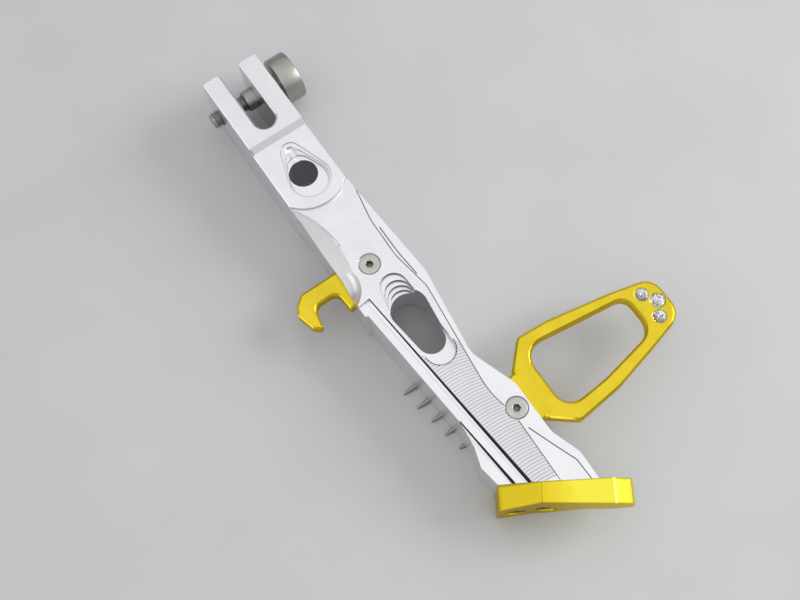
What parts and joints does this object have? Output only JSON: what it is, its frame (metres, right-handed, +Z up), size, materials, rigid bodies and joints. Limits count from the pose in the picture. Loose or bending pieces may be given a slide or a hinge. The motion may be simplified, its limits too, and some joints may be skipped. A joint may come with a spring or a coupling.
{
  "type": "side stand",
  "caption": "Milled metal side stand lying on its back: clevis with pivot bolt, slotted leg, slanted gold foot plate, gold spring hook and gold loop for the boot.",
  "frame": {"origin": "on the pivot axis, midway between the outer faces of the two ears and halfway up the bar", "axes": "+X along the leg from the pivot to the foot, +Y across it towards the boot loop and the bolt's head, +Z up, away from the flat back that lies on the ground"},
  "size_m": [0.2613, 0.1342, 0.033],
  "materials": {
    "milled_metal": "bright milled",
    "gold_coat": "gold anodised gloss",
    "stainless": "satin",
    "black_steel": "black oxide",
    "bolt_steel": "turned",
    "clear_stone": "cut and polished"
  },
  "bodies": {
    "root": {"leg": "milled_metal", "foot_plate": "gold_coat", "foot_screw_heel": "black_steel", "foot_screw_toe": "black_steel", "loop": "gold_coat", "loop_screw": "stainless", "spring_hook": "gold_coat", "hook_screw": "stainless", "pivot_bolt": "bolt_steel", "stone_left": "clear_stone", "stone_middle": "clear_stone", "stone_right": "clear_stone"}
  },
  "joints": []
}
